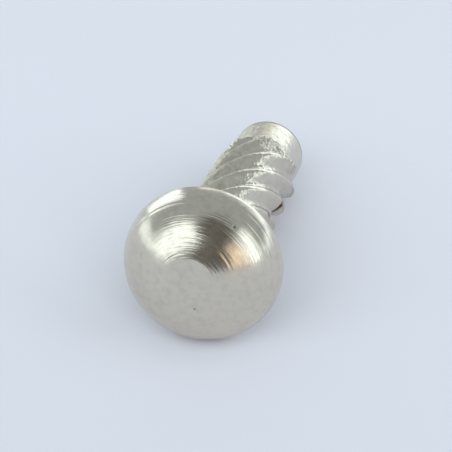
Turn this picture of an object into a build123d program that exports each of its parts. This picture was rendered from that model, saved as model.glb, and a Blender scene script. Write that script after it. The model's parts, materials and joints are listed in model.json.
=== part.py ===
from build123d import *
import os
from math import acos, asin, atan2, ceil, cos, degrees, hypot, pi, radians, sin, tan

# Drive screw: one solid piece of steel. A round head with a small flat at its pole, a short plain neck, a steep
# right-hand thread of several starts and a plain pilot end. It lies at rest, on the rim of its head and the edge
# of its pilot, with the head toward +X. Lengths are in millimetres and +Z is up.

# Head
head_dia = 5.08
head_height = 1.92
head_band = 0.13  # upright side of the head, from the seat up to where the dome begins
head_flat_dia = 1.52  # flat at the pole
rim_round = 0.08

# Shank
shank_length = 9.525  # from the seat under the head to the end of the pilot
blank_dia = 2.44  # neck and pilot keep the size of the plain blank
neck_length = 0.45
neck_fillet = 0.24
pilot_length = 1.65
pilot_round = 0.14

# Thread, rolled into the blank: what the grooves give up stands above it as ridges
ridge_height = 0.21
groove_depth = 0.10
starts = 7
lead_angle = 50.0  # degrees from the circumference, at the crest
thread_phase = 7.5  # degrees, turns the ridges about the screw's axis
crest_share = 0.14  # flat of a ridge's crest, as a share of the ridges' spacing
root_share = 0.20  # flat of a groove's floor, as a share of the ridges' spacing
ridge_runout = 0.36  # length in which the end of a ridge sinks into the blank
groove_runout = 0.36  # length in which the end of a groove rises out of the blank
core_share = 0.94  # buried core that carries the ridges, as a share of the root
twist_step = 4.0  # degrees at most between neighbouring cross-sections, so that each ridge keeps to its own start
overrun = 0.10  # how far construction solids run past what they trim

# Radii that follow from the diameters
head_radius = head_dia / 2
head_flat_radius = head_flat_dia / 2
blank_radius = blank_dia / 2
thread_radius = blank_radius + ridge_height
root_radius = blank_radius - groove_depth
core_radius = root_radius * core_share

# Heights along the axis: zero at the seat, with the head above it and the shank below
thread_top = -neck_length
thread_end = pilot_length - shank_length
shank_end = -shank_length
thread_lead = 2 * pi * thread_radius * tan(radians(lead_angle))


def blank():
    """Head, neck, buried core and pilot, turned from one half outline."""
    dome_angle = acos(head_flat_dia / head_dia)
    dome_rise = (head_height - head_band) / sin(dome_angle)
    groove_top = thread_top - ridge_runout / 2
    groove_end = thread_end + ridge_runout / 2
    with BuildSketch(Plane.XZ) as outline:
        with BuildLine():
            Polyline((0, shank_end), (0, head_height), (head_flat_radius, head_height))
            EllipticalCenterArc((0, head_band), head_radius, dome_rise, 0, arc_size=degrees(dome_angle))
            Line((head_radius, head_band), (head_radius, rim_round))
            CenterArc((head_radius - rim_round, rim_round), rim_round, -90, 90)
            Line((head_radius - rim_round, 0), (blank_radius + neck_fillet, 0))
            CenterArc((blank_radius + neck_fillet, -neck_fillet), neck_fillet, 90, 90)
            Polyline(
                (blank_radius, -neck_fillet),
                (blank_radius, groove_top),
                (core_radius, groove_top - groove_runout),
                (core_radius, groove_end + groove_runout),
                (blank_radius, groove_end),
                (blank_radius, shank_end + pilot_round),
            )
            CenterArc((blank_radius - pilot_round, shank_end + pilot_round), pilot_round, -90, 90)
            Line((blank_radius - pilot_round, shank_end), (0, shank_end))
        make_face()
    return revolve(outline.sketch, Axis.Z)


def thread_envelope():
    """The turned outline that the ridges fill: a cylinder clear of the crests, with a cone at each end."""
    cone_slope = ridge_runout / ridge_height
    inner_reach = (blank_radius - core_radius) * cone_slope
    outer_reach = (thread_radius + overrun - blank_radius) * cone_slope
    with BuildSketch(Plane.XZ) as outline:
        with BuildLine():
            Polyline(
                (0, thread_top + inner_reach),
                (core_radius, thread_top + inner_reach),
                (thread_radius + overrun, thread_top - outer_reach),
                (thread_radius + overrun, thread_end + outer_reach),
                (core_radius, thread_end - inner_reach),
                (0, thread_end - inner_reach),
                close=True,
            )
        make_face()
    return revolve(outline.sketch, Axis.Z)


def ridged_bar(bottom, top):
    """A bar with one ridge for each start, flat at crest and root, twisted right-handed by the lead."""
    ridge_corners = (
        (thread_radius, -crest_share / 2),
        (thread_radius, crest_share / 2),
        (root_radius, (1 - root_share) / 2),
        (root_radius, (1 + root_share) / 2),
    )
    corners = []
    for start in range(starts):
        for radius, share in ridge_corners:
            turn = 2 * pi * (start + share) / starts
            corners.append((radius * cos(turn), radius * sin(turn)))
    section = Wire.make_polygon(corners, close=True)
    spans = ceil(360 * (top - bottom) / thread_lead / twist_step)
    sections = []
    for level in range(spans + 1):
        height = bottom + (top - bottom) * level / spans
        sections.append(Pos(0, 0, height) * Rot(0, 0, thread_phase + 360 * height / thread_lead) * section)
    return Solid.make_loft(sections)


def laid_down(screw):
    """The screw turned from upright to lying on its rim and its pilot's edge, centred on the ground."""
    drop = (head_radius - rim_round) - (blank_radius - pilot_round)
    reach = rim_round - (shank_end + pilot_round)
    tilt = atan2(drop, reach) - asin((pilot_round - rim_round) / hypot(drop, reach))
    lying = Rot(0, 90 - degrees(tilt), 0) * screw
    box = lying.bounding_box()
    return Pos(-box.center().X, -box.center().Y, -box.min.Z) * lying


envelope = thread_envelope()
envelope_box = envelope.bounding_box()
ridges = ridged_bar(envelope_box.min.Z - overrun, envelope_box.max.Z + overrun) & envelope
drive_screw = laid_down(blank() + ridges)
print("solids", len(drive_screw.solids()), "valid", drive_screw.is_valid, "volume", drive_screw.volume)

os.makedirs("parts", exist_ok=True)
export_step(drive_screw, "parts/drive_screw.step")
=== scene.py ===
# %% [markdown]
# # A drive screw, lying on pale paper
# A drive screw is hammered into a hole, and its steep ridges turn it as it goes in. The real one is a
# single piece: a cut of wire gets its head in a press and its ridges between two rolling dies, and is
# then plated. The CAD frame already fixes where it lies and how big it is. This lesson dresses that
# frame: one node tree makes the metal skin, one material plates it, and a small studio lights it.

# %% Load the frame
import json
import math

import bpy
from mathutils import Matrix, Vector


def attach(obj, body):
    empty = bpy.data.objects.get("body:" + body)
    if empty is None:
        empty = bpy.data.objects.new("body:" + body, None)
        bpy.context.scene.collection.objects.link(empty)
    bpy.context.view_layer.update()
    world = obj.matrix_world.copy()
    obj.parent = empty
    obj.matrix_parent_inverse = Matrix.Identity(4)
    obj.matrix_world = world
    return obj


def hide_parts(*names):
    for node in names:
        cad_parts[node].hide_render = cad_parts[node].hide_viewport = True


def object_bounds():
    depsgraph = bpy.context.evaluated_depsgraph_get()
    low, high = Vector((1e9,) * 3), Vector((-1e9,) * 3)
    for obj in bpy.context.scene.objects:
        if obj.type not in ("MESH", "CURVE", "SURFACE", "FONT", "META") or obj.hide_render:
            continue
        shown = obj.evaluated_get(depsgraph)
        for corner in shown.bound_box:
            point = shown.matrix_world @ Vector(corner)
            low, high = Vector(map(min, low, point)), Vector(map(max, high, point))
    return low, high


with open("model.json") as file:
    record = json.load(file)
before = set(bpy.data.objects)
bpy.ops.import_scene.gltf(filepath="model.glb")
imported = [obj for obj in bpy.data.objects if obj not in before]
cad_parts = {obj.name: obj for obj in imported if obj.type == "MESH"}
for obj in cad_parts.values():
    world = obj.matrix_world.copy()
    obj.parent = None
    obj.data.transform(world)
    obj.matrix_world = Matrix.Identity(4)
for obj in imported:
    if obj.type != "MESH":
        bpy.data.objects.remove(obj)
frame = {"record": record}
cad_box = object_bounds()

MM = 0.001
mounts = {mount["name"]: mount for mount in frame["record"]["mounts"]}
print("CAD box in metres:", [list(corner) for corner in cad_box])

# %% [markdown]
# ## Where the screw's axis runs
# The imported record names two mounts: the plain pilot end, with its axis and radius, and the flat seat
# under the head. Those two say everything about the pose, so no place has to be fitted by eye. The
# screw's own frame has its zero on the axis at the seat, with the head above and the shank below.

# %% Read the axis from the mounts
toward_head = -Vector(mounts["pilot"]["axis"])
axis_point = Vector(mounts["pilot"]["pos_m"])
seat_point = Vector(mounts["seat"]["pos_m"])
seat_centre = axis_point + toward_head * (seat_point - axis_point).dot(toward_head)
lean = math.asin(toward_head.z)
print("axis rises", round(math.degrees(lean), 3), "degrees, seat centre", list(seat_centre))

# %% [markdown]
# ## The outline that is turned
# A headed part is a half outline spun about its axis, with the same sizes as the CAD part, in
# millimetres. Three fine rings are cut into the outline itself, because a ring that catches light at its
# edge is worth real geometry. Finer turning marks come later, as bump in the material.

# %% Sizes in millimetres
head_radius = (cad_box[1].y - cad_box[0].y) / 2 / MM
head_height = 1.92
head_band = 0.13
head_flat_radius = 0.76
rim_round = 0.08
shank_length = 9.525
blank_radius = mounts["pilot"]["dims"]["r_mm"]
neck_length = 0.45
neck_fillet = 0.24
pilot_length = 1.65
pilot_round = 0.14
thread_top = -neck_length
thread_end = pilot_length - shank_length
ridge_reach = 0.40  # how far below the thread's end a torn ridge end may still reach
dome_angle = math.degrees(math.acos(head_flat_radius / head_radius))
dome_rise = (head_height - head_band) / math.sin(math.radians(dome_angle))

# Turned rings on the dome: radius less height where they run, half width and depth
turned_rings = [(-0.33, 0.07, 0.004), (1.45, 0.12, 0.006), (1.95, 0.06, 0.006)]
print("head", round(2 * head_radius, 3), "across, thread from", thread_top, "to", thread_end)

# %% [markdown]
# ## Points along the outline
# Arcs and straight runs give the points. They are close together where the surface bends and further
# apart where it runs straight. Each point carries a flag that says whether ridges may be rolled there.

# %% Walk the outline from the pole to the pilot's end
pole_rows = 12
dome_rows = 130
band_rows = 4
round_rows = 8
seat_rows = 6
ridged_rows = 212
pilot_rows = 16
end_rows = 10


def straight(start, end, steps):
    """Points along a straight run, without its end."""
    return [tuple(a + (b - a) * step / steps for a, b in zip(start, end)) for step in range(steps)]


def arc(centre, radii, start_angle, end_angle, steps):
    """Points along a circular or elliptical arc, angles in degrees, without its end."""
    points = []
    for step in range(steps):
        angle = math.radians(start_angle + (end_angle - start_angle) * step / steps)
        points.append((centre[0] + radii[0] * math.cos(angle), centre[1] + radii[1] * math.sin(angle)))
    return points


def ring_cut(radius, height):
    """The point of the dome moved inward, square to the dome, where a turned ring runs."""
    depth = 0.0
    for middle, half_width, deepest in turned_rings:
        off = min(1.0, abs(radius - height - middle) / half_width)
        depth += deepest * (1 + math.cos(math.pi * off)) / 2
    outward = Vector((radius / head_radius ** 2, (height - head_band) / dome_rise ** 2)).normalized()
    return radius - depth * outward.x, height - depth * outward.y


def screw_outline():
    """(radius, height, may hold ridges) for each row, from the pole of the head to the pilot's end."""
    rows = straight((0, head_height), (head_flat_radius, head_height), pole_rows)
    dome = arc((0, head_band), (head_radius, dome_rise), dome_angle, 0, dome_rows)
    rows += [ring_cut(*point) for point in dome]
    rows += straight((head_radius, head_band), (head_radius, rim_round), band_rows)
    rows += arc((head_radius - rim_round, rim_round), (rim_round, rim_round), 0, -90, round_rows)
    rows += straight((head_radius - rim_round, 0), (blank_radius + neck_fillet, 0), seat_rows)
    fillet_centre = (blank_radius + neck_fillet, -neck_fillet)
    rows += arc(fillet_centre, (neck_fillet, neck_fillet), 90, 180, round_rows)
    plain_head = [(radius, height, 0.0) for radius, height in rows]
    ridges_end = thread_end - ridge_reach
    rows = straight((blank_radius, -neck_fillet), (blank_radius, ridges_end), ridged_rows)
    ridged_shank = [(radius, height, 1.0) for radius, height in rows]
    round_start = -shank_length + pilot_round
    rows = straight((blank_radius, ridges_end), (blank_radius, round_start), pilot_rows)
    rows += arc((blank_radius - pilot_round, round_start), (pilot_round, pilot_round), 0, -90, round_rows)
    rows += straight((blank_radius - pilot_round, -shank_length), (0, -shank_length), end_rows)
    rows += [(0, -shank_length)]
    plain_pilot = [(radius, height, 0.0) for radius, height in rows]
    return plain_head + ridged_shank + plain_pilot


outline = screw_outline()
print("outline rows:", len(outline))

# %% [markdown]
# ## Arithmetic that reads like arithmetic
# A shape that follows a rule is a good use of Geometry Nodes, but a rule of twenty terms is hard to read
# as boxes and wires. A thin wrapper lets the script write `a * b + c` and get the Math nodes for it.
# Geometry and shader trees share those nodes, so the same wrapper serves the skin and the plating.


# %% A field that builds its own nodes
class Field:
    """A number that differs from point to point, as an output socket of a node tree."""

    def __init__(self, tree, socket):
        self.tree = tree
        self.socket = socket

    def math(self, operation, *others):
        node = self.tree.nodes.new("ShaderNodeMath")
        node.operation = operation
        for entry, value in zip(node.inputs, (self, *others)):
            plug(self.tree, entry, value)
        return Field(self.tree, node.outputs[0])

    def __add__(self, other):
        return self.math("ADD", other)

    def __sub__(self, other):
        return self.math("SUBTRACT", other)

    def __mul__(self, other):
        return self.math("MULTIPLY", other)

    def __truediv__(self, other):
        return self.math("DIVIDE", other)

    def flipped(self):
        """One minus this field."""
        return self * -1.0 + 1.0

    def clamped(self):
        return self.math("MINIMUM", 1.0).math("MAXIMUM", 0.0)

    def eased(self):
        """Clamped, with a soft start and a soft end."""
        share = self.clamped()
        return share * share * (share * -2.0 + 3.0)


def plug(tree, entry, value):
    """Joins a field, or sets a plain value, at a node's input."""
    if isinstance(value, Field):
        tree.links.new(value.socket, entry)
    else:
        entry.default_value = value


def add_node(tree, kind, settings=None, **inputs):
    """A new node with its own settings, and inputs named in words."""
    node = tree.nodes.new(kind)
    for name, value in (settings or {}).items():
        setattr(node, name, value)
    for name, value in inputs.items():
        plug(tree, node.inputs[name.replace("_", " ")], value)
    return node


def noise(tree, x, y, z, detail):
    """Smooth noise between minus and plus one half at this place."""
    spot = add_node(tree, "ShaderNodeCombineXYZ", X=x, Y=y, Z=z)
    node = add_node(tree, "ShaderNodeTexNoise", Scale=1.0, Detail=detail)
    tree.links.new(spot.outputs[0], node.inputs["Vector"])
    return Field(tree, node.outputs[0]) - 0.5


print("arithmetic helpers ready")

# %% [markdown]
# ## The rule for the rolled ridges
# Round the axis, a ridge has a narrow crest, two flanks and a groove floor. Turning that pattern as the
# height changes makes the steep thread. A cone at each end limits how high a ridge stands, and a second
# one how deep a groove goes, so both run out into the plain blank as they do where a die ends. Every size
# here becomes a named input of the tree.

# %% Rolled thread sizes in millimetres
ridge_height = 0.21
lead_angle = math.radians(50.0)
thread_sizes = {
    "Starts": 7.0,
    "Lead": 2 * math.pi * (blank_radius + ridge_height) * math.tan(lead_angle),
    "Phase": math.radians(7.5),
    "Ridge height": ridge_height,
    "Groove depth": 0.10,
    "Crest share": 0.14,
    "Root share": 0.20,
    "Crest round": 0.12,
    "Root round": 0.22,
    "Worn crest round": 0.80,
    "Ridge run-out": 0.36,
    "Groove run-out": 0.36,
    "Edge blend": 0.02,
    "Raggedness": 0.35,
    "Torn lip": 0.24,
    "Seam depth": 0.035,
    "Tear depth": 0.07,
    "Pole offset": 0.14,
    "Steps round": 220.0,
}
print("ridges:", int(thread_sizes["Starts"]), "lead in millimetres:", round(thread_sizes["Lead"], 2))

# %% [markdown]
# ## Wear on the ridges
# Real ridges aren't perfect. Near the pilot their ends are torn and their crests have a seam, where metal
# from both sides of the die's groove did not quite close. One side of the screw has rounder crests. One
# ridge is torn across its flank, not far from the head, and another has a nick.

# %% Sizes of the wear
# The forked tear and the nick: height and turn in degrees at both ends of each branch, and its half width
tears = [
    ((-5.06, 64.0), (-5.05, 83.0), 0.15),
    ((-5.05, 83.0), (-5.02, 92.5), 0.12),
    ((-5.07, 85.0), (-5.22, 89.0), 0.07),
    ((-3.17, 109.0), (-3.22, 106.0), 0.07),
]
tear_waver = 0.10  # how far noise bends a tear to and fro
stain_reach = 2.6  # half widths of a tear that its brown stain spreads over
worn_slope = -2.2  # how fast the crests get rounder across the screw, and from where
worn_start = 0.45
torn_middle = 0.50  # above the thread's end, where the ridges are torn most
torn_reach = 0.85
seam_share = 0.16  # half width of the seam, as a share of half the ridges' spacing
wobble_share = 0.06

# Spots of each noise, round the ring and per millimetre along the axis, and how fine it is
tear_spots = (8.0, 7.0)
ragged_spots = 3.2
wobble_spots = (6.0, 2.5)
lip_spots = (9.0, 5.0)
coarse_detail = 2.0
fine_detail = 3.0
ragged_slice = 4.0  # places in the noise, so that no two rules share one
turn_slice = 9.0
print("branches of the tear and the nick:", len(tears))

# %% [markdown]
# ## From rule to radius
# Each rule is now a short function of the turn round the axis and the height along it. Wear is added
# last, to the radius of the clean ridges.


# %% Rules as fields
def stroke(turn, height, start, end, half_width):
    """One on a straight scratch on the unrolled shank, and zero a half width away from it."""
    begin = (start[0], math.radians(start[1]) * blank_radius)
    reach = (end[0] - start[0], math.radians(end[1] - start[1]) * blank_radius)
    along = height - begin[0]
    across = turn * blank_radius - begin[1]
    share = ((along * reach[0] + across * reach[1]) / (reach[0] ** 2 + reach[1] ** 2)).clamped()
    off_along = along - share * reach[0]
    off_across = across - share * reach[1]
    distance = (off_along * off_along + off_across * off_across).math("SQRT")
    return (distance / half_width).flipped().eased()


def strokes(marks, turn, height, widening):
    """One in the middle of any of these marks, and zero away from them. Noise bends them to and fro."""
    tree = turn.tree
    x, y = turn.math("COSINE") * tear_spots[0], turn.math("SINE") * tear_spots[0]
    bent_height = height + noise(tree, x, y, height * tear_spots[1], coarse_detail) * tear_waver
    bent_turn = turn + noise(tree, x, y, height * tear_spots[1] + turn_slice, coarse_detail) * tear_waver
    nearest = None
    for start, end, half_width in marks:
        branch = stroke(bent_turn, bent_height, start, end, half_width * widening)
        nearest = branch if nearest is None else nearest.math("MAXIMUM", branch)
    return nearest


def rolled_ridges(size, turn, height):
    """The radius of the ridged shank at this turn and height."""
    tree = turn.tree
    ring_x, ring_y = turn.math("COSINE"), turn.math("SINE")

    def ring_noise(spots, z, detail):
        return noise(tree, ring_x * spots, ring_y * spots, z, detail)

    ragged = ring_noise(ragged_spots, ragged_slice, coarse_detail) * size["Raggedness"]
    above_end = height - (ragged + thread_end)

    around = (turn - height * (2 * math.pi) / size["Lead"] - size["Phase"]) * size["Starts"] / (2 * math.pi)
    from_crest = ((around + 0.5).math("FRACT") - 0.5).math("ABSOLUTE") * 2.0
    flank = (size["Crest share"] + size["Root share"]).flipped()
    stand = (from_crest + size["Root share"]).flipped() / flank
    worn_side = (ring_y * worn_slope + worn_start).eased()
    crest_round = size["Crest round"] + (size["Worn crest round"] - size["Crest round"]) * worn_side
    stand = stand.math("SMOOTH_MIN", 1.0, crest_round).math("SMOOTH_MAX", 0.0, size["Root round"])
    wobble = ring_noise(wobble_spots[0], height * wobble_spots[1], fine_detail) * wobble_share
    stand = stand + wobble * stand
    rolled = stand * (size["Ridge height"] + size["Groove depth"]) - size["Groove depth"]

    from_ends = (height * -1.0 + thread_top).math("MINIMUM", above_end)
    cap = from_ends / size["Ridge run-out"] * size["Ridge height"]
    groove = from_ends - size["Ridge run-out"] * 0.5
    floor = (groove / size["Groove run-out"]).clamped() * size["Groove depth"] * -1.0
    capped = rolled.math("SMOOTH_MIN", cap, size["Edge blend"])
    radius = floor.math("SMOOTH_MAX", capped, size["Edge blend"])

    near_end = ((above_end - torn_middle).math("ABSOLUTE") / torn_reach).flipped().eased()
    lip = ring_noise(lip_spots[0], height * lip_spots[1], fine_detail) * size["Torn lip"] * near_end * stand
    seam = (from_crest / seam_share).flipped().eased() * size["Seam depth"] * near_end
    torn = strokes(tears, turn, height, 1.0) * size["Tear depth"]
    return radius + lip - seam - torn + blank_radius


print("rules ready:", ", ".join(rule.__name__ for rule in (stroke, strokes, rolled_ridges)))

# %% [markdown]
# ## The skin: a sheet wrapped round the outline
# The tree takes a flat grid, one row for each outline point and one column for each step round the axis,
# and puts every grid point at its place. The seam and both poles are welded, so the skin is closed. A
# copy of the CAD mesh could be dressed instead, but its facets show in polished metal, and a tree with
# named inputs can be changed and looked at again in a second.


# %% Build the tree
weld_distance = 1e-4


def new_tree(name, inputs):
    """An empty node tree with named float inputs, and its input and output nodes."""
    tree = bpy.data.node_groups.new(name, "GeometryNodeTree")
    tree.interface.new_socket(name="Geometry", in_out="INPUT", socket_type="NodeSocketGeometry")
    for entry in inputs:
        tree.interface.new_socket(name=entry, in_out="INPUT", socket_type="NodeSocketFloat")
    tree.interface.new_socket(name="Material", in_out="INPUT", socket_type="NodeSocketMaterial")
    tree.interface.new_socket(name="Geometry", in_out="OUTPUT", socket_type="NodeSocketGeometry")
    return tree, tree.nodes.new("NodeGroupInput"), tree.nodes.new("NodeGroupOutput")


def wrapped_sheet(tree, given, steps_round, rows):
    """A grid to be bent into a tube along the outline: its geometry, and the fields that place its points."""
    grid = add_node(tree, "GeometryNodeMeshGrid", Size_X=rows - 1.0, Size_Y=steps_round)
    grid.inputs["Vertices X"].default_value = rows
    plug(tree, grid.inputs["Vertices Y"], steps_round + 1.0)
    place = add_node(tree, "ShaderNodeSeparateXYZ")
    tree.links.new(tree.nodes.new("GeometryNodeInputPosition").outputs[0], place.inputs[0])
    row = (Field(tree, place.outputs[0]) + (rows - 1) / 2).math("ROUND")
    turn = (Field(tree, place.outputs[1]) / steps_round + 0.5) * (2 * math.pi)
    sample = add_node(tree, "GeometryNodeSampleIndex", {"data_type": "FLOAT_VECTOR"}, Index=row)
    tree.links.new(given.outputs["Geometry"], sample.inputs["Geometry"])
    tree.links.new(tree.nodes.new("GeometryNodeInputPosition").outputs[0], sample.inputs["Value"])
    spot = add_node(tree, "ShaderNodeSeparateXYZ")
    tree.links.new(sample.outputs[0], spot.inputs[0])
    radius, may_hold_ridges, height = (Field(tree, spot.outputs[part]) for part in range(3))
    return grid.outputs["Mesh"], turn, radius, may_hold_ridges, height


def chain(tree, socket, *nodes):
    """Joins nodes that each take geometry first and give geometry first."""
    for node in nodes:
        tree.links.new(socket, node.inputs["Geometry"])
        socket = node.outputs["Geometry"]
    return socket


def screw_tree(rows):
    """The whole skin, upright in millimetres, then laid down in metres."""
    tree, given, made = new_tree("rolled_screw", thread_sizes)
    size = {name: Field(tree, given.outputs[name]) for name in thread_sizes}
    sheet, turn, radius, may_hold_ridges, height = wrapped_sheet(tree, given, size["Steps round"], rows)
    final = radius + (rolled_ridges(size, turn, height) - radius) * may_hold_ridges
    x, y = final * turn.math("COSINE"), final * turn.math("SINE")
    up_the_head = (height / head_height).math("MAXIMUM", 0.0)
    lopsided_x = x - up_the_head * up_the_head * size["Pole offset"]
    own_place = Field(tree, add_node(tree, "ShaderNodeCombineXYZ", X=x, Y=y, Z=height).outputs[0])
    bent_place = Field(tree, add_node(tree, "ShaderNodeCombineXYZ", X=lopsided_x, Y=y, Z=height).outputs[0])
    keep = "GeometryNodeStoreNamedAttribute"
    keep_place = add_node(tree, keep, {"data_type": "FLOAT_VECTOR"}, Name="own_place", Value=own_place)
    keep_tear = add_node(tree, keep, Name="tear", Value=strokes(tears, turn, height, 1.0))
    keep_stain = add_node(tree, keep, Name="stain", Value=strokes(tears, turn, height, stain_reach))
    bend = add_node(tree, "GeometryNodeSetPosition", Position=bent_place)
    weld = add_node(tree, "GeometryNodeMergeByDistance", Distance=weld_distance)
    smooth = add_node(tree, "GeometryNodeSetShadeSmooth")
    lay_down = add_node(tree, "GeometryNodeTransform", Translation=seat_centre, Scale=(MM, MM, MM))
    lay_down.inputs["Rotation"].default_value = (0, math.pi / 2 - lean, 0)
    realize = add_node(tree, "GeometryNodeRealizeInstances")
    plate = add_node(tree, "GeometryNodeSetMaterial")
    tree.links.new(given.outputs["Material"], plate.inputs["Material"])
    skin = chain(tree, sheet, keep_place, keep_tear, keep_stain, bend, weld, smooth, lay_down, realize, plate)
    tree.links.new(skin, made.inputs["Geometry"])
    return tree


tree = screw_tree(len(outline))
print("tree nodes:", len(tree.nodes))

# %% [markdown]
# ## Nickel plate
# The finish is bright nickel over steel, a little warm beside the blue-white light. Everything in it
# follows the screw's own frame, which the skin carries as an attribute: fine turning marks run in rings
# round the head, and the rolled shank is duller and mottled. Two small knocks in the head and painted
# shade in them and in the tear complete it, with a darker line along the pilot's end edge.

# %% Make the plating
nickel_colour = (0.66, 0.605, 0.515, 1)
dull_colour = (0.48, 0.455, 0.385, 1)
stain_colour = (0.50, 0.36, 0.30, 1)
# painted shade: near black, put in the tear and the knocks, and also used for the darker line at the pilot's
# end
painted_dark_colour = (0.030, 0.016, 0.012, 1)
# Knocks: turn in degrees, radius and height in millimetres, size and depth in millimetres
head_knocks = [(146.8, 2.115, 1.17, 0.09, 0.007), (11.0, 0.92, 1.88, 0.05, 0.006)]

# Spots of each noise: round the ring and across the rings on the head, or per millimetre, and how fine it is
turning_spots = (1.3, 15.0)
turning_detail = 4.0
broad_spots = (0.9, 4.0)
mottle_spots = 5.0
mottle_detail = 2.5
cloud_spots = 1.3
burr_spots = 8.0

# Where each kind of surface lies, in millimetres
head_from = 0.15
head_blend = 0.1
burr_middle = 0.35
burr_reach = 0.9
worn_from = 0.25
worn_blend = -0.7
end_edge_width = 0.10
off_the_axis = 1e-4  # keeps the distance from the axis clear of zero at the pole

# Bump heights in millimetres
turning_bump = 0.009
broad_bump = 0.009
mottle_bump = 0.028
worn_bump = 0.045
burr_bump = 0.045

# Shares of dullness, painted shade and roughness
tear_shade = 1.6
end_edge_darkness = 0.6
knock_shade = 0.75
stain_share = 0.7
plain_dullness = 0.12
side_darkening = 0.25
cloud_dullness = 0.6
mottle_dullness = 1.2
side_mottle_darkening = 2.0
plain_roughness = 0.19
shank_roughness = 0.03
worn_roughness = 0.32
cloud_roughness = 0.10
turning_roughness = 0.10
darkened_roughness = 0.4


def mixed(tree, share, first, second):
    """A colour between two colours."""
    node = add_node(tree, "ShaderNodeMix", {"data_type": "RGBA"})
    plug(tree, node.inputs["Factor"], share)
    for entry, colour in ((node.inputs[6], first), (node.inputs[7], second)):
        plug(tree, entry, colour)
    return Field(tree, node.outputs[2])


def nickel_plate():
    """Bright on the turned head, duller on the rolled shank, with painted shade in the tear and the knocks
    and a darker line at the pilot's end.
    """
    material = bpy.data.materials.new("bright_nickel")
    material.use_nodes = True
    tree = material.node_tree
    shader = tree.nodes["Principled BSDF"]
    shader.inputs["Metallic"].default_value = 1.0
    own_place = add_node(tree, "ShaderNodeAttribute", {"attribute_name": "own_place"})
    tear = Field(tree, add_node(tree, "ShaderNodeAttribute", {"attribute_name": "tear"}).outputs["Fac"])
    stain = Field(tree, add_node(tree, "ShaderNodeAttribute", {"attribute_name": "stain"}).outputs["Fac"])
    split = add_node(tree, "ShaderNodeSeparateXYZ")
    tree.links.new(own_place.outputs["Vector"], split.inputs[0])
    x, y, z = (Field(tree, split.outputs[part]) for part in range(3))

    from_axis = (x * x + y * y + off_the_axis).math("SQRT")
    ring = from_axis - z
    ring_x, ring_y = x / from_axis, y / from_axis

    def ring_noise(spots, detail):
        return noise(tree, ring_x * spots[0], ring_y * spots[0], ring * spots[1], detail)

    def even_noise(spots, detail):
        return noise(tree, x * spots, y * spots, z * spots, detail)

    turning = ring_noise(turning_spots, turning_detail)
    broad = ring_noise(broad_spots, coarse_detail)
    mottle = even_noise(mottle_spots, mottle_detail)
    cloud = even_noise(cloud_spots, fine_detail)
    burrs = even_noise(burr_spots, coarse_detail)

    on_head = ((z + head_from) / head_blend).clamped()
    on_shank = on_head.flipped()
    burred = ((z - thread_end - burr_middle).math("ABSOLUTE") / burr_reach).flipped().eased()
    worn_side = ((y - worn_from) / worn_blend).clamped() * on_shank * burred.flipped()
    head_marks = (turning * turning_bump + broad * broad_bump) * on_head
    shank_marks = mottle * (on_shank * mottle_bump + worn_side * worn_bump)
    bump_height = head_marks + shank_marks + burrs * burred * burr_bump
    # a thin band is painted darker along the rounded edge of the pilot's end
    end_edge = ((z + shank_length - pilot_round).math("ABSOLUTE") / end_edge_width).flipped().eased()
    # painted shade fills the tear
    dark = (tear * tear_shade).clamped().math("MAXIMUM", end_edge * end_edge_darkness)
    for turn, radius, height, size, depth in head_knocks:
        angle = math.radians(turn)
        middle = (radius * math.cos(angle), radius * math.sin(angle), height)
        off = [part - centre for part, centre in zip((x, y, z), middle)]
        distance = (off[0] * off[0] + off[1] * off[1] + off[2] * off[2]).math("SQRT")
        hit = (distance / size).flipped().eased()
        bump_height = bump_height - hit * depth
        # painted shade inside each knock
        dark = dark.math("MAXIMUM", hit * knock_shade)
    bump = add_node(tree, "ShaderNodeBump", Strength=1.0, Distance=MM, Height=bump_height)
    tree.links.new(bump.outputs["Normal"], shader.inputs["Normal"])

    # the base colour is darker and more mottled on one side of the shank
    mottled = mottle * (worn_side * side_mottle_darkening + mottle_dullness)
    dulled = (cloud * cloud_dullness + mottled + worn_side * side_darkening + plain_dullness).clamped()
    metal = mixed(tree, dulled, nickel_colour, dull_colour)
    stained = mixed(tree, stain * stain_share, metal, stain_colour)
    plug(tree, shader.inputs["Base Color"], mixed(tree, dark, stained, painted_dark_colour))
    roughness = on_shank * shank_roughness + worn_side * worn_roughness + cloud * cloud_roughness
    roughness = roughness + turning * on_head * turning_roughness + plain_roughness
    plug(tree, shader.inputs["Roughness"], roughness + dark * darkened_roughness)
    return material


nickel = nickel_plate()
print("plating nodes:", len(nickel.node_tree.nodes))


# %% [markdown]
# ## Run the tree once
# The tree is run on the outline, and its result is kept as a plain mesh, so nothing is left to be
# computed later.

# %% Keep a plain mesh
def run_tree(tree, name, points, values, material):
    """The tree's result on these outline points, as an object with a plain mesh and no modifier."""
    rows = bpy.data.meshes.new(name + "_outline")
    rows.from_pydata([(radius, ridged, height) for radius, height, ridged in points], [], [])
    source = bpy.data.objects.new(name + "_source", rows)
    bpy.context.scene.collection.objects.link(source)
    modifier = source.modifiers.new("skin", "NODES")
    modifier.node_group = tree
    for entry in tree.interface.items_tree:
        if entry.in_out == "INPUT" and entry.name in values:
            modifier[entry.identifier] = float(values[entry.name])
        elif entry.in_out == "INPUT" and entry.name == "Material":
            modifier[entry.identifier] = material
    graph = bpy.context.evaluated_depsgraph_get()
    mesh = bpy.data.meshes.new_from_object(source.evaluated_get(graph))
    bpy.data.objects.remove(source)
    piece = bpy.data.objects.new(name, mesh)
    bpy.context.scene.collection.objects.link(piece)
    return piece


screw = run_tree(tree, "screw", outline, thread_sizes, nickel)
triangles = sum(len(face.vertices) - 2 for face in screw.data.polygons)
print("screw faces", len(screw.data.polygons), "triangles", triangles)

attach(screw, "root")
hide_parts("drive_screw")

# %% [markdown]
# ## The camera
# The camera looks down at the head from a little to one side, close by and with a long lens, so the head
# is large and the pilot end falls away behind it. Its place follows from where the centre of the seat
# lies in the picture.

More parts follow.
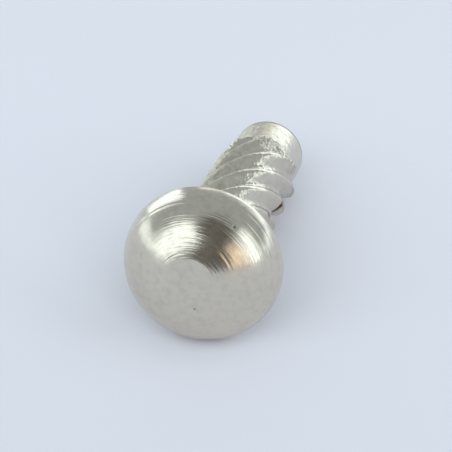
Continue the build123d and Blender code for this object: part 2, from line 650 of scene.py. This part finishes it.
# %% Aim the camera
view_azimuth = math.radians(13.54)
view_elevation = math.radians(31.74)
view_distance = 62.0 * MM
pixels_per_mm = 31.92
image_side = 452
seat_pixel = (204.58, 260.98)


def direction(azimuth, elevation):
    """The unit vector toward this azimuth from +X and this elevation, both in radians."""
    level = math.cos(elevation)
    return Vector((level * math.cos(azimuth), level * math.sin(azimuth), math.sin(elevation)))


toward_camera = direction(view_azimuth, view_elevation)
right = Vector((-math.sin(view_azimuth), math.cos(view_azimuth), 0))
upward = toward_camera.cross(right)
offset_right = (seat_pixel[0] - image_side / 2) / pixels_per_mm * MM
offset_up = (image_side / 2 - seat_pixel[1]) / pixels_per_mm * MM
camera_place = seat_centre - right * offset_right - upward * offset_up + toward_camera * view_distance

camera = bpy.data.objects.new("camera", bpy.data.cameras.new("camera"))
bpy.context.scene.collection.objects.link(camera)
camera_turn = Matrix((right, upward, toward_camera)).transposed().to_4x4()
camera.matrix_world = Matrix.Translation(camera_place) @ camera_turn
camera.data.lens = camera.data.sensor_width * pixels_per_mm * view_distance / MM / image_side
camera.data.clip_start = MM
bpy.context.scene.camera = camera
print("camera at", list(camera_place), "lens", round(camera.data.lens, 1))

# %% [markdown]
# ## Paper
# The screw lies on pale paper. In metal this polished the paper matters twice, because the whole lower
# half of the head shows nothing but its reflection.


# %% Lay the paper
def flat_piece(name, corners, material):
    """A flat piece of the studio, from its corners in order."""
    mesh = bpy.data.meshes.new(name)
    mesh.from_pydata(corners, [], [list(range(len(corners)))])
    mesh.materials.append(material)
    piece = bpy.data.objects.new(name, mesh)
    bpy.context.scene.collection.objects.link(piece)
    return piece


def plain_material(name, colour):
    material = bpy.data.materials.new(name)
    material.use_nodes = True
    shader = material.node_tree.nodes["Principled BSDF"]
    shader.inputs["Base Color"].default_value = (*colour, 1)
    shader.inputs["Roughness"].default_value = 0.9
    shader.inputs["Specular IOR Level"].default_value = 0.1
    return material


far_paper = (0.70, 0.685, 0.745, 1)
# painted shade: the paper's colour toward the camera
shaded_near_paper = (0.64, 0.627, 0.682, 1)
shade_from = -0.011
shade_over = 0.030
half_side = 0.3
paper_corners = [
    (-half_side, -half_side, 0),
    (half_side, -half_side, 0),
    (half_side, half_side, 0),
    (-half_side, half_side, 0),
]


def pale_paper():
    """Paper with a faint sheen at a low angle, and painted shade that makes it a little darker toward the
    camera.
    """
    material = plain_material("pale_paper", far_paper[:3])
    tree = material.node_tree
    shader = tree.nodes["Principled BSDF"]
    shader.inputs["Specular IOR Level"].default_value = 0.4
    shader.inputs["Roughness"].default_value = 0.6
    place = add_node(tree, "ShaderNodeSeparateXYZ")
    tree.links.new(add_node(tree, "ShaderNodeTexCoord").outputs["Object"], place.inputs[0])
    share = ((Field(tree, place.outputs[0]) - shade_from) / shade_over).eased()
    plug(tree, shader.inputs["Base Color"], mixed(tree, share, far_paper, shaded_near_paper))
    return material


paper = flat_piece("paper", paper_corners, pale_paper())
print("paper side", 2 * half_side)

# %% [markdown]
# ## Lamps
# A mirror-like head shows where every lamp stands, so the lamps are placed by what it shows: a window
# behind on the left, one in front on the left, one on the right, a bright wall behind that draws the
# crests and the rim as thin white lines, and a small warm lamp. Each is a flat panel, cut to the outline
# that its reflection needs. Two more light only the paper, from the front and from the right, so that the
# shadows stay soft.

# %% Hang the lamps
lamp_distance = 0.50
card_distance = 0.58
fade_height = 0.05
lowest_share = 0.4
daylight = (0.86, 0.96, 1.0)
warm_light = (1.0, 0.82, 0.64)
cream_light = (0.97, 1.0, 0.92)

# Brightness, colour and corners of each lamp. A corner is an azimuth and an elevation in degrees
lamps = {
    "left_back": (2.1, daylight, [(-155, 4), (-134, 0), (-113, 15), (-124, 36), (-140, 42)]),
    "left_low": (1.6, daylight, [(-118, 0), (-116, 10), (-103, 18), (-77, 18), (-67, 7), (-69, 0)]),
    "left_front": (2.0, daylight, [(-66, 0), (-52, 55), (-30, 60), (-19, 50), (-1, 36), (-21, 21), (-42, 0)]),
    "warm_lamp": (1.45, warm_light, [(36, 32), (46, 33), (53, 26), (58, 14), (55, 0), (45, 0), (36, 5)]),
    "right_side": (2.2, daylight, [(68, 0), (61, 21), (70, 46), (90, 42), (88, 0)]),
    "right_back": (2.1, daylight, [(104, 2), (104, 10), (140, 10), (140, 2)]),
    "back_wall": (2.0, daylight, [(141, 0), (141, 14), (165, 21), (180, 22), (180, 0)]),
    "back_glow": (1.4, cream_light, [(180, 5), (180, 21), (196, 20), (196, 5)]),
    "front_fill": (2.7, daylight, [(-25, 8), (-25, 60), (49, 60), (49, 8)]),
    "right_fill": (1.4, daylight, [(60, 25), (60, 65), (125, 65), (125, 25)]),
}


def panel(name, corners, distance, material):
    """A flat panel that faces the screw, out of the camera's sight."""
    ways = [direction(math.radians(azimuth), math.radians(elevation)) for azimuth, elevation in corners]
    facing = sum(ways, Vector()).normalized()
    piece = flat_piece(name, [seat_centre + way * distance / way.dot(facing) for way in ways], material)
    piece.visible_camera = False
    piece.visible_shadow = False
    return piece


def glow(name, brightness, colour):
    """A material that shines evenly, and more weakly close to the paper."""
    material = plain_material(name, (0, 0, 0))
    tree = material.node_tree
    place = add_node(tree, "ShaderNodeSeparateXYZ")
    tree.links.new(add_node(tree, "ShaderNodeTexCoord").outputs["Object"], place.inputs[0])
    share = (Field(tree, place.outputs[2]) / fade_height).clamped()
    shader = tree.nodes["Principled BSDF"]
    shader.inputs["Emission Color"].default_value = (*colour, 1)
    plug(tree, shader.inputs["Emission Strength"], (share * (1 - lowest_share) + lowest_share) * brightness)
    return material


panels = {}
for name, (brightness, colour, corners) in lamps.items():
    panels[name] = panel(name, corners, lamp_distance, glow(name, brightness, colour))
panels["front_fill"].visible_glossy = False
panels["right_fill"].visible_glossy = False
for name in ("left_back", "right_back", "back_wall", "back_glow"):
    panels[name].visible_diffuse = False
print("lamps:", ", ".join(lamps))

# %% [markdown]
# ## A dark cloth that glows
# Polished metal looks like metal only where it also has something dark to show. A dark cloth with uneven
# folds hangs round the camera; it is not lit but glows dimly, and its folds are painted as darker and
# brighter patches of glow. It takes no light from the paper.

# %% Hang the cloth
cloth_corners = [
    (-24, 64), (37, 79), (70, 74), (66, 58), (58, 45), (50, 34), (46, 31),
    (34, 31), (32, 0), (-8, 0), (-16, 9), (-19, 21), (1, 36), (-17, 50),
]
# painted light: the cloth's glow, darker and brighter over its folds
cloth_glow_dim = (0.06, 0.06, 0.058, 1)
cloth_glow_bright = (0.25, 0.24, 0.225, 1)
folds_per_metre = 6.8
fold_blend = 0.3
fold_detail = 2.0


def cloth_glow_painted_folds():
    """A dim glow in place of a lit cloth, with its soft folds painted as darker and brighter glow."""
    material = plain_material("dark_cloth", (0, 0, 0))
    tree = material.node_tree
    place = add_node(tree, "ShaderNodeSeparateXYZ")
    tree.links.new(add_node(tree, "ShaderNodeTexCoord").outputs["Object"], place.inputs[0])
    x, y, z = (Field(tree, place.outputs[part]) * folds_per_metre for part in range(3))
    share = (noise(tree, x, y, z, fold_detail) / fold_blend + 0.5).clamped()
    shader = tree.nodes["Principled BSDF"]
    plug(tree, shader.inputs["Emission Color"], mixed(tree, share, cloth_glow_dim, cloth_glow_bright))
    shader.inputs["Emission Strength"].default_value = 1.0
    return material


dark_cloth = panel("dark_cloth", cloth_corners, card_distance, cloth_glow_painted_folds())
dark_cloth.visible_diffuse = False
print("dark cloth corners:", len(cloth_corners))

# %% [markdown]
# ## The room's own light
# A weak even light fills the rest of the room, so no side of the screw falls into black.

# %% Light the room
room_strength = 0.53
world = bpy.data.worlds.new("room")
bpy.context.scene.world = world
world.use_nodes = True
room_light = world.node_tree.nodes["Background"]
room_light.inputs["Color"].default_value = (*daylight, 1)
room_light.inputs["Strength"].default_value = room_strength
bpy.context.scene.view_settings.view_transform = "Standard"
print("room light:", room_strength)
